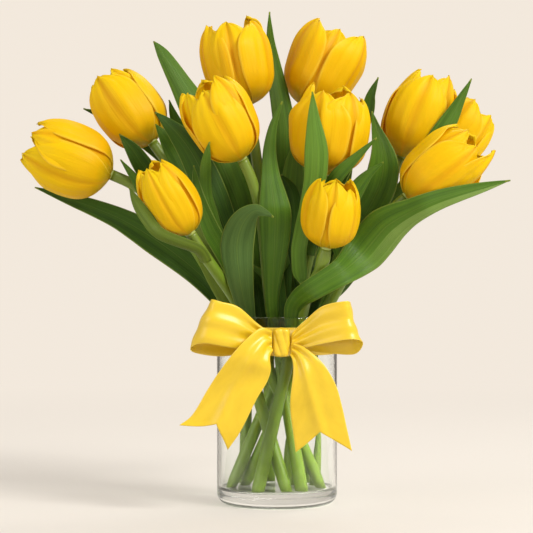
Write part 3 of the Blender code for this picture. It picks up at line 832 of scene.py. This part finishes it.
def rounded(t, places, values):
    """Values read from a smooth curve through a few points."""
    curve = smooth(np.column_stack([places, values]), CURVE_STEPS)
    return np.interp(t, curve[:, 0], curve[:, 1])


def flower_measures(name):
    """Base, axis, length and largest radius of a flower's cup."""
    points, _ = node_points(name)
    foot = stem_ends[name[-2:]]
    centre = points.mean(axis=0)
    axis = unit(centre - foot)
    along = (points - foot) @ axis
    radial = np.linalg.norm((points - foot) - along[:, None] * axis, axis=1)
    return foot + axis * along.min(), axis, along.max() - along.min(), radial.max()


def flower_sides(axis):
    """Two directions square to a flower's axis: side, and side x axis."""
    side = unit(np.cross(axis, (0.0, 1.0, 0.0)))
    return side, np.cross(side, axis)


def petal_grid(base, axis, length, radius, angle, inner, spread, rng):
    """A petal: an oval blade wrapped round the cup.

    theta = angle + half width * outline(t) * v, with t up the petal and v across it from -1
    to 1. The radius is the cup's profile, opened at the mouth, plus a groove along the rib,
    pleats, ridges and a wave at the free edges.
    """
    step = np.linspace(0, 1, PETAL_ROWS)[:, None]
    t = 0.6 * step + 0.4 * np.sin(step * math.pi / 2)
    v = np.linspace(-1, 1, PETAL_COLUMNS)[None, :]
    layer = INNER_LAYER if inner else 0.0
    reach = (1.01 if inner else 0.98) + rng.uniform(-0.09, 0.02)
    half = math.radians(INNER_HALF if inner else OUTER_HALF) * rng.uniform(0.94, 1.08)
    belly = rounded(t, PROFILE_T, PROFILE_R) + spread * ease(t, 0.35, 1.0)
    lean = rng.uniform(-LEAN, LEAN) * ease(t, 0.4, 1.0)
    tip = np.sqrt(1 - np.clip((t - 0.45) / 0.55, 0, 1) ** 3.3)
    width = half * rounded(t, FOOT_T, FOOT_W) * tip / (0.72 + 0.28 * belly)
    height = t * reach - 0.05 * v ** 2 * ease(t, 0.45, 1.0)
    height = height + 0.012 * np.sin(11 * v + 3 * reach) * ease(t, 0.86, 1.0)
    rib = (-RIB_DEPTH * np.exp(-(v / 0.08) ** 2) * ease(t, 0.03, 0.25)
           * (1 - ease(t, 0.85, 1)))
    shoulders = (SHOULDER_RISE * np.exp(-((np.abs(v) - 0.22) / 0.12) ** 2)
                 * ease(t, 0.1, 0.4))
    phase = rng.uniform(0, 6.28, 3)
    pleats = PLEAT_RISE * np.sin(v * 19 + phase[0] + 2.0 * t) * ease(t, 0.10, 0.5)
    ridges = RIDGE_RISE * np.sin(v * 6 + phase[1]) * ease(t, 0.15, 0.6)
    frill = (FRILL_RISE * np.sin(12 * t + phase[2]) * np.abs(v) ** 3
             * ease(t, 0.35, 0.8))
    overlap = OVERLAP * v * ease(t, 0.1, 0.4)
    lip = LIP_RISE * np.abs(v) ** 6 * ease(t, 0.3, 0.8)
    r = radius * (belly - layer + lean + rib + shoulders + pleats + ridges + frill
                  + overlap + lip)
    r = np.maximum(r, radius * THINNEST)
    theta = math.radians(angle) + width * v
    side, front = flower_sides(axis)
    front = front if front[1] < 0 else -front
    around = side * np.sin(theta)[..., None] + front * np.cos(theta)[..., None]
    return base + axis * (height * length)[..., None] + around * r[..., None]


# Radii in mm of a stamen and of the pistil, at shares of their length.
STAMENS = 6
STAMEN_RADIUS = ((0, 0.55, 0.6, 0.95, 1), (0.6, 0.6, 1.5, 1.4, 0.3))
PISTIL_RADIUS = ((0, 0.12, 0.2, 0.8, 0.88, 1), (4.2, 4.2, 3.0, 2.6, 3.6, 0.8))


def stamen_grids(base, axis, length, radius):
    """Six stamens round a pistil, as tapered rods on the flower's axis."""
    side, front = flower_sides(axis)
    t = np.linspace(0, 1, 10)[:, None]
    thick = np.interp(t[:, 0], *STAMEN_RADIUS) * MM
    rods = []
    for angle in np.arange(STAMENS) * TURN / STAMENS:
        out = side * math.cos(angle) + front * math.sin(angle)
        line = base + axis * (0.05 + 0.36 * t) * length + out * (0.08 + 0.13 * t) * radius
        rods.append(tube_grid(line, thick, 8))
    t = np.linspace(0, 1, 12)[:, None]
    line = base + axis * (0.45 * t * length - 1.2 * MM)
    thick = np.interp(t[:, 0], *PISTIL_RADIUS) * MM
    return rods, tube_grid(line, thick, 12)


rng = np.random.default_rng(7)
flowers = [n for n in nodes if n.startswith("flower_")]
for seed, name in enumerate(flowers):
    base, axis, length, radius = flower_measures(name)
    turn = FLOWER_TURN[name[-2:]]
    for k in range(6):
        inner = k >= 3
        angle = turn + 120 * (k % 3) + (60 if inner else 0) + rng.uniform(-6, 6)
        grid = petal_grid(base, axis, length, radius, angle, inner,
                          FLOWER_OPEN[name[-2:]], rng)
        kind = "inner" if inner else "outer"
        piece = grid_mesh(f"petal_{name[-2:]}_{kind}_{k % 3 + 1}", [grid],
                          petal_skins[(seed + k) % 3])
        thicken(piece, PETAL_THICKNESS)
        finish_piece(piece, "petals", *([name] if k == 0 else []))
    rods, pistil = stamen_grids(base, axis, length, radius)
    for kind, grids, skin in (("stamens", rods, anther_skin),
                              ("pistil", [pistil], pistil_skin)):
        piece = grid_mesh(f"{kind}_{name[-2:]}", grids, skin, wrap=True, caps=True)
        finish_piece(piece, "petals")
print("flowers", len(flowers), "last one's length and radius", length, radius)

# %% [markdown]
# ## Vase
# A turned glass cylinder: a thin wall with a fire-polished rim, and a thick floor with a
# round heel.

# %% Turn the vase
low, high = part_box("vase")
VASE_R = (high[0] - low[0]) / 2 / MM
VASE_H = (high[2] - low[2]) / MM
VASE_WALL = 3.0
VASE_FLOOR = 12.0
HEEL = 9.0          # the outer rounding at the foot
CORNER = 3.0        # the inner rounding at the floor
RIM = 1.5           # the rounding of the rim
PIN = 0.05          # the outline stops this short of the axis, where a cap closes it
ROUND_SIDES = 128


def turned(profile, sides):
    """A profile of (radius, height) pairs swept round the Z axis."""
    angle = np.arange(sides) * TURN / sides
    profile = np.array(profile, float) * MM
    x = profile[:, :1] * np.cos(angle)
    y = profile[:, :1] * np.sin(angle)
    z = np.repeat(profile[:, 1:], sides, axis=1)
    return np.stack([x, y, z], axis=-1)


bore = VASE_R - VASE_WALL
outline = [(PIN, 0.0)]
outline += [(VASE_R - HEEL + HEEL * math.sin(a), HEEL - HEEL * math.cos(a))
            for a in np.linspace(0, math.pi / 2, 10)]
outline += [(VASE_R, VASE_H - RIM)]
outline += [(VASE_R - RIM + RIM * math.cos(a), VASE_H - RIM + RIM * math.sin(a))
            for a in np.linspace(0.3, math.pi - 0.3, 8)]
outline += [(bore, VASE_H - RIM), (bore, VASE_FLOOR + CORNER)]
outline += [(bore - CORNER + CORNER * math.cos(a),
             VASE_FLOOR + CORNER - CORNER * math.sin(a))
            for a in np.linspace(0.3, math.pi / 2, 5)]
outline += [(PIN, VASE_FLOOR)]
vase = grid_mesh("glass_vase", [turned(outline, ROUND_SIDES)], glass, wrap=True, caps=True)
print("vase radius and height in mm", VASE_R, VASE_H)
finish_piece(vase, "vase_glass", "vase")

# %% [markdown]
# ## Bow
# One wide satin ribbon: a band round the vase, two loops folded from the knot, two tails
# cut in a swallow's tail, and the knot wrapped over them.

# %% Ribbon surfaces
RIBBON_THICKNESS = 0.5 * MM
RIBBON_COLUMNS = 33
RIBBON_SPAN_ROWS = 10
FOLD_RISE = 1.8 * MM
BELLY_RISE = 1.6 * MM
LOOP_DRAPE = 0.8 * MM
TAIL_RIDGE = 1.6 * MM
TAIL_SWAY = 1.3 * MM
TAIL_NOTCH = 0.16

# Pairs of points in mm, one on each edge of the strip, from the knot along its length.
LEFT_LOOP = [
    ((-4.8, -60, 138), (-4.8, -60, 126)), ((-16, -63, 146), (-17, -63, 127)),
    ((-31, -70, 159), (-33, -71, 127)), ((-47, -74, 163), (-55, -76, 131)),
    ((-50, -66, 164), (-66, -67, 128)), ((-46, -57, 163), (-64, -56, 123)),
    ((-32, -54, 158), (-44, -54, 120)), ((-18, -54, 147), (-22, -54, 123)),
    ((-4.8, -53.6, 137), (-4.8, -53.6, 127)),
]
RIGHT_LOOP = [
    ((10.8, -60, 138), (10.8, -60, 126)), ((21, -63, 148), (20, -63, 127)),
    ((34, -70, 159), (37, -71, 131)), ((51, -74, 163), (56, -76, 134)),
    ((56, -66, 162), (65, -67, 131)), ((53, -57, 161), (60, -56, 122)),
    ((37, -54, 158), (43, -54, 122)), ((23, -54, 147), (25, -54, 124)),
    ((10.8, -53.6, 137), (10.8, -53.6, 127)),
]
LEFT_TAIL = [
    ((-4.2, -61.7, 140), (-4.3, -61.6, 125)), ((-14, -69, 142), (-6, -66, 120)),
    ((-30, -75, 128), (-5, -70, 111)), ((-42, -72, 113), (-8, -68, 101)),
    ((-53, -69, 96), (-16, -67, 88)), ((-65, -68, 76), (-28, -66, 64)),
    ((-75, -68, 68), (-38, -66, 49)),
]
RIGHT_TAIL = [
    ((10.5, -61.6, 122), (10.6, -61.6, 131)), ((12, -66, 116), (21, -67, 127)),
    ((12, -68, 106), (34, -71, 116)), ((10, -68, 90), (44, -71, 100)),
    ((10, -66, 77), (49, -69, 84)), ((12, -65, 62), (53, -67, 66)),
    ((14, -64, 47), (57, -66, 48)),
]


def ribbon_surface(pairs, both_ends, notch=0.0):
    """A strip between two edges: first (1 - share) + second share, plus normal * rise.

    The rise is a fan of gathers that fade away from the knot, a round belly, and a drape.
    A notch draws the middle of the free end back into a swallow's tail.
    """
    edges = smooth(np.array(pairs, float), RIBBON_SPAN_ROWS) * MM
    rows = len(edges)
    share = np.linspace(0, 1, RIBBON_COLUMNS)
    step = np.linspace(0, 1, rows)[:, None] * (1 - notch * (1 - np.abs(2 * share - 1)))
    place = step * (rows - 1)
    lower = np.minimum(place.astype(int), rows - 2)
    part = (place - lower)[..., None]
    first = edges[lower, 0] * (1 - part) + edges[lower + 1, 0] * part
    second = edges[lower, 1] * (1 - part) + edges[lower + 1, 1] * part
    grid = first * (1 - share)[None, :, None] + second * share[None, :, None]
    normal = unit(np.cross(np.gradient(grid, axis=0), np.gradient(grid, axis=1)))
    fan = share[None, :] - 0.5
    near_knot = np.exp(-step * 4.2) * ease(step, 0.0, 0.04)
    if both_ends:
        near_knot = near_knot + np.exp(-(1 - step) * 5.0) * ease(1 - step, 0.0, 0.04)
        drape = np.exp(-((fan + 0.10) / 0.22) ** 2) * np.sin(step * TURN) * LOOP_DRAPE
    else:
        ridge = np.exp(-((fan + 0.18 - 0.25 * step) / 0.10) ** 2) * TAIL_RIDGE
        sway = np.sin(TURN * (1.3 * step + 0.6 * fan)) * TAIL_SWAY
        drape = (ridge + sway) * ease(step, 0.1, 0.5)
    fold = np.sin(fan * 15.0 + 1.3 + step * 3.0) * near_knot * FOLD_RISE
    belly = np.cos(fan * math.pi) * ease(step, 0.1, 0.4) * BELLY_RISE
    return grid + normal * (fold + belly + drape)[..., None]


def ribbon_piece(name, grid, node):
    """A satin strip with its thickness."""
    piece = grid_mesh(name, [grid], satin)
    thicken(piece, RIBBON_THICKNESS)
    finish_piece(piece, "ribbon", node)


ribbon_piece("bow_left_loop", ribbon_surface(LEFT_LOOP, True), "ribbon_left_loop")
ribbon_piece("bow_right_loop", ribbon_surface(RIGHT_LOOP, True), "ribbon_right_loop")
ribbon_piece("bow_left_tail", ribbon_surface(LEFT_TAIL, False, TAIL_NOTCH),
             "ribbon_left_tail")
ribbon_piece("bow_right_tail", ribbon_surface(RIGHT_TAIL, False, TAIL_NOTCH),
             "ribbon_right_tail")

# %% [markdown]
# The knot is a squarish barrel with slanting folds, and the band a ring of the same satin.

# %% Knot and band
KNOT_ROWS, KNOT_COLUMNS = 31, 96
KNOT_FOLDS = 3      # folds on each half of the knot
KNOT_SLANT = 1.7
KNOT_FOLD_RISE = 0.20
BAND_EDGE = 0.8     # the band's edges stand this far inside its middle, in mm
knot_low, knot_high = (np.array(v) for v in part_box("ribbon_knot"))


def knot_surface():
    """The wrapped knot: r = barrel * square * (0.92 + folds * edge fade)."""
    height = np.linspace(-1, 1, KNOT_ROWS)[:, None]
    angle = (np.arange(KNOT_COLUMNS) * TURN / KNOT_COLUMNS)[None, :]
    barrel = (1 - np.abs(height) ** 8) ** 0.25 * (0.88 + 0.12 * height ** 2)
    crease = np.abs(np.sin(KNOT_FOLDS * angle + KNOT_SLANT * height)) ** 0.7
    folds = KNOT_FOLD_RISE * (crease - 0.5)
    square = (np.abs(np.cos(angle)) ** 3 + np.abs(np.sin(angle)) ** 3) ** (-1 / 3)
    r = np.maximum(barrel * square * (0.92 + folds * (1 - height ** 4)), 0.02)
    centre = (knot_low + knot_high) / 2
    half = (knot_high - knot_low) / 2
    return np.stack([centre[0] + half[0] * r * np.cos(angle),
                     centre[1] + half[1] * r * np.sin(angle),
                     centre[2] + half[2] * height * np.ones_like(angle)], axis=-1)


knot = grid_mesh("bow_knot", [knot_surface()], satin, wrap=True, caps=True)
finish_piece(knot, "ribbon", "ribbon_knot")

band_low, band_high = (np.array(v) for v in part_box("ribbon_band"))
outer = band_high[0] / MM
bottom, top = band_low[2] / MM, band_high[2] / MM
loop = [(outer - BAND_EDGE, bottom), (outer - 0.1, bottom + 0.3),
        (outer, (bottom + top) / 2), (outer - 0.1, top - 0.3),
        (outer - BAND_EDGE, top), (outer - BAND_EDGE, bottom)]
band = grid_mesh("bow_band", [turned(loop, ROUND_SIDES)], satin, wrap=True)
weld(band)
finish_piece(band, "ribbon", "ribbon_band")
